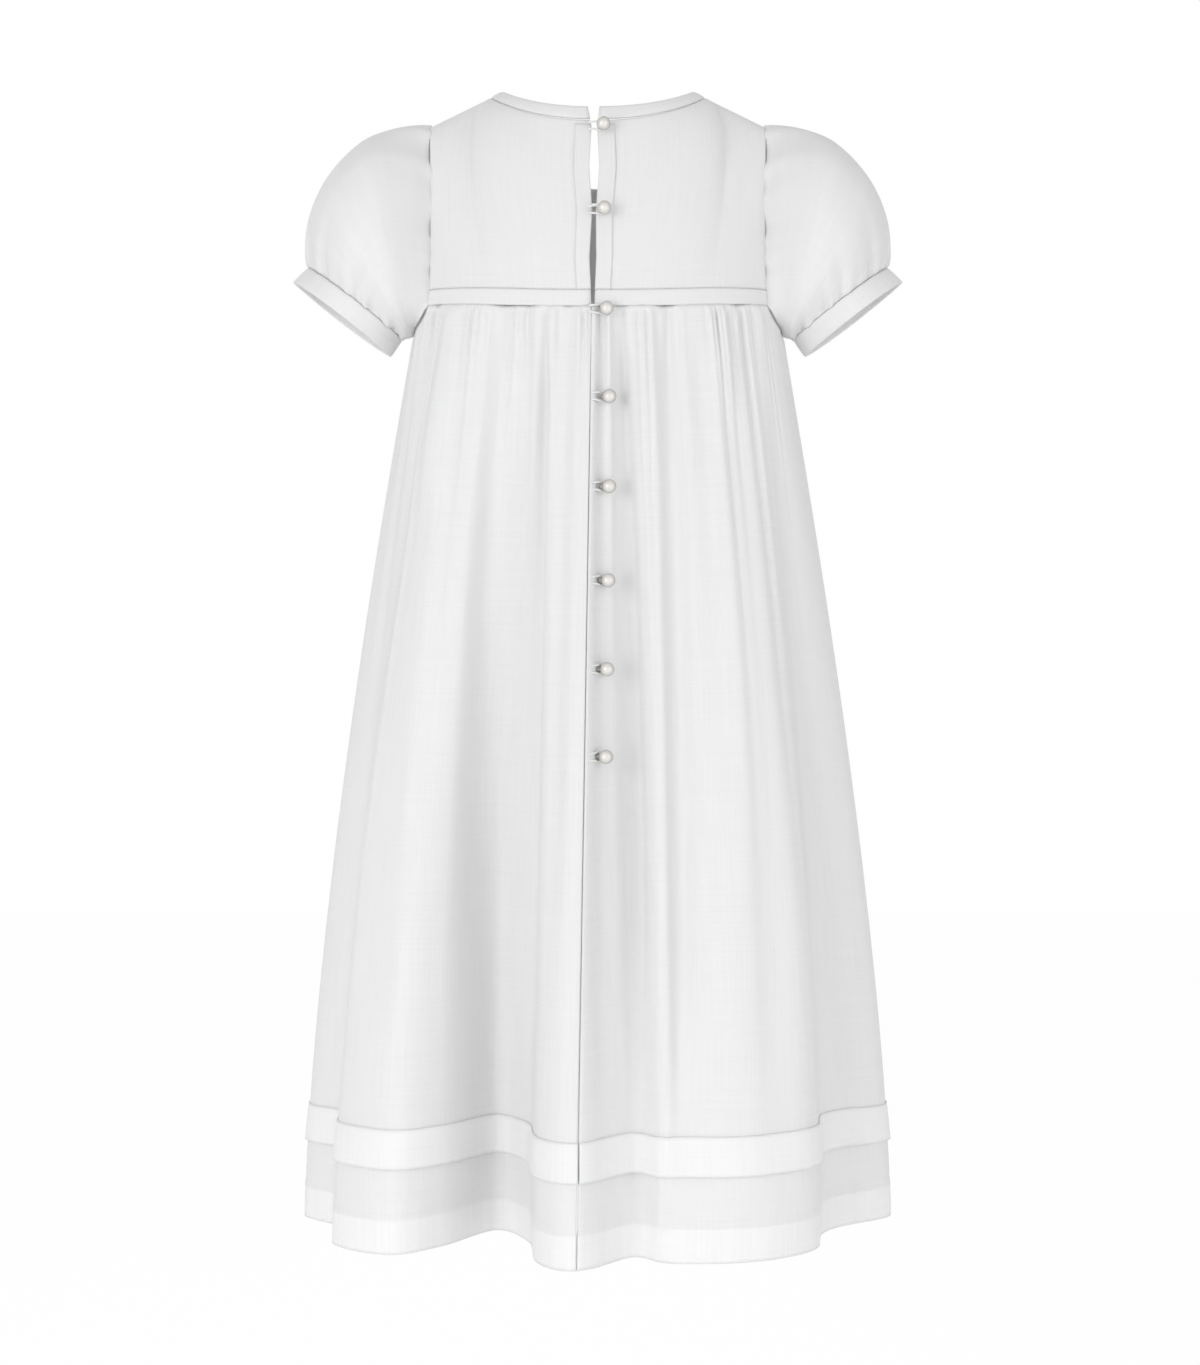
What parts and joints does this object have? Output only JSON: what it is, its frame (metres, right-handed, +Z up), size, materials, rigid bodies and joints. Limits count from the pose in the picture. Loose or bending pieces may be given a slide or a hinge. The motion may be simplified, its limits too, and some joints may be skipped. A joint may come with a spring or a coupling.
{
  "type": "christening gown",
  "caption": "White baby's christening gown with a buttoned back yoke, puff sleeves and a long gathered skirt with a tuck above the hem.",
  "frame": {"origin": "level with the neck points and midway between them, where the wearer holds the gown up", "axes": "+Z up, -Y towards the wearer's front, +X towards the wearer's left; the buttoned back faces +Y"},
  "size_m": [0.3416, 0.2266, 0.6328],
  "materials": {
    "lawn": "matt, semi-sheer plain weave",
    "doubled_lawn": "matt, two or more layers",
    "pearl": "pearly gloss"
  },
  "bodies": {
    "root": {"yoke_front": "lawn", "yoke_back_left": "lawn", "yoke_back_right": "lawn", "skirt_front": "lawn", "skirt_back_left": "lawn", "skirt_back_right": "lawn", "sleeve_left": "lawn", "sleeve_right": "lawn", "neck_binding": "doubled_lawn", "waistband_front": "doubled_lawn", "waistband_back_left": "doubled_lawn", "waistband_back_right": "doubled_lawn", "placket_left": "doubled_lawn", "placket_right": "doubled_lawn", "tuck_front": "doubled_lawn", "tuck_back_left": "doubled_lawn", "tuck_back_right": "doubled_lawn", "cuff_left": "doubled_lawn", "cuff_right": "doubled_lawn", "loop_1": "doubled_lawn", "loop_2": "doubled_lawn", "loop_3": "doubled_lawn", "loop_4": "doubled_lawn", "loop_5": "doubled_lawn", "loop_6": "doubled_lawn", "loop_7": "doubled_lawn", "loop_8": "doubled_lawn", "button_1": "pearl", "button_2": "pearl", "button_3": "pearl", "button_4": "pearl", "button_5": "pearl", "button_6": "pearl", "button_7": "pearl", "button_8": "pearl"}
  },
  "joints": []
}
